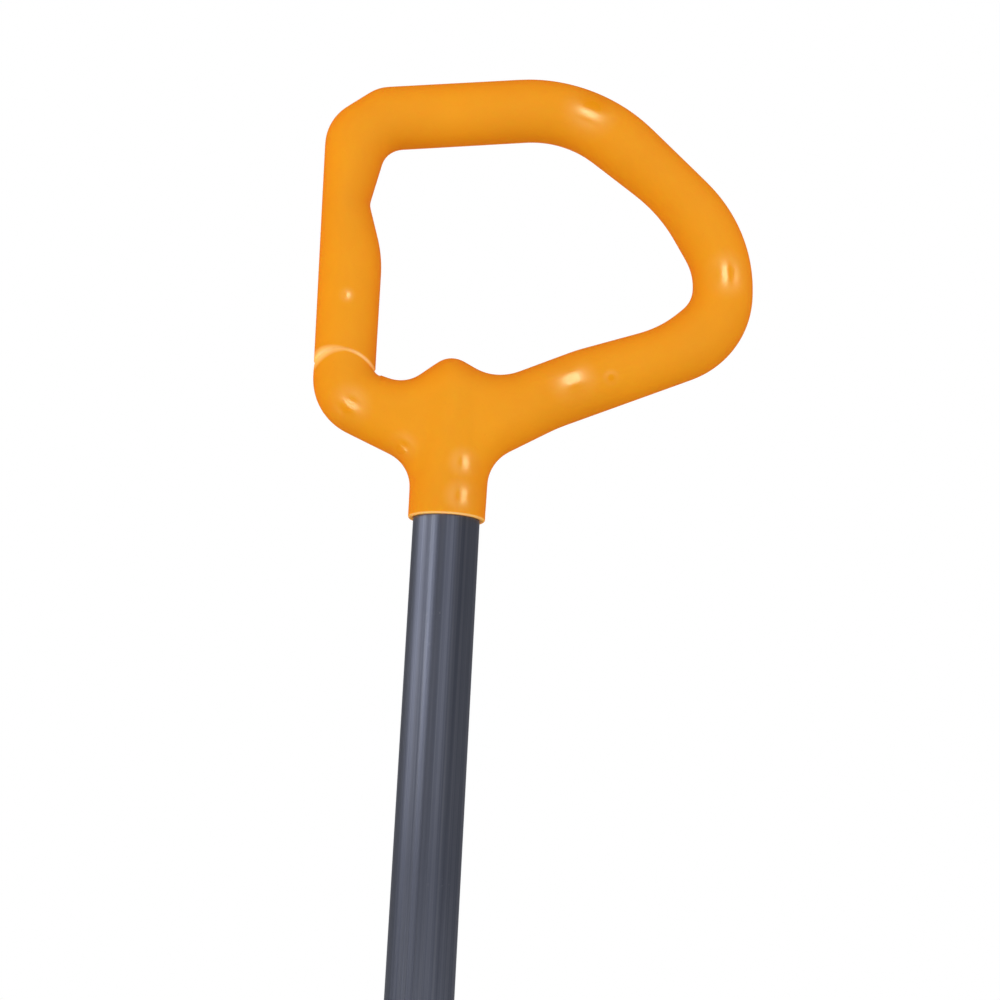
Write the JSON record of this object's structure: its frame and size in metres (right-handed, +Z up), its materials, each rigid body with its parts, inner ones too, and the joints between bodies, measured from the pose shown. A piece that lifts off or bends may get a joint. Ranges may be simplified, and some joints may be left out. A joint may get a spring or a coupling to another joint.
{
  "type": "avalanche shovel",
  "caption": "Avalanche shovel with a large closed hand loop, a telescoping round shaft locked by snap buttons, and a pressed blade that pulls off its socket.",
  "frame": {"origin": "middle of the blade's digging edge", "axes": "+Z up the shaft to the grip, -Y out of the blade's hollow side, +X towards the long side of the hand loop"},
  "size_m": [0.2514, 0.044, 0.9844],
  "materials": {
    "orange_plastic": "glossy moulded orange",
    "slate_anodised": "satin anodised slate grey, drawn lengthwise",
    "silver_anodised": "satin anodised silver",
    "black_plastic": "matt moulded black",
    "black_rubber": "matt",
    "steel": "plain steel",
    "rivet_aluminium": "plain aluminium"
  },
  "bodies": {
    "blade": {"blade_sheet": "silver_anodised", "blade_socket": "slate_anodised", "socket_saddle": "slate_anodised", "saddle_rivets": "rivet_aluminium", "socket_rivets": "rivet_aluminium", "socket_end_cap": "black_plastic"},
    "lower_shaft": {"lower_tube": "slate_anodised", "guide_collar": "black_plastic", "collar_screws": "steel", "lower_tube_plug": "black_plastic", "blade_spring": "steel"},
    "blade_button": {"blade_button": "steel"},
    "handle_shaft": {"grip": "orange_plastic", "grip_closure_pin": "orange_plastic", "grip_rivet": "rivet_aluminium", "upper_tube": "slate_anodised", "upper_tube_glide": "black_plastic", "glide_ring": "black_rubber", "length_spring": "steel"},
    "length_button": {"length_button": "steel"}
  },
  "joints": [
    {"name": "shaft_off_blade", "type": "slide", "parent": "blade", "child": "lower_shaft", "axis": [0, 0, 1], "range_m": [0, 0.1], "deforming": ["blade_button", "blade_spring"]},
    {"name": "shaft_length", "type": "slide", "parent": "lower_shaft", "child": "handle_shaft", "axis": [0, 0, -1], "range_m": [0, 0.165], "deforming": ["length_button", "length_spring"]},
    {"name": "blade_button_press", "type": "slide", "parent": "lower_shaft", "child": "blade_button", "axis": [0, 1, 0], "range_m": [0, 0.0062], "stiffness_N_per_m": 1500, "deforming": ["blade_spring"]},
    {"name": "length_button_press", "type": "slide", "parent": "handle_shaft", "child": "length_button", "axis": [0, 1, 0], "range_m": [0, 0.0055], "stiffness_N_per_m": 1500, "deforming": ["length_spring"]}
  ]
}
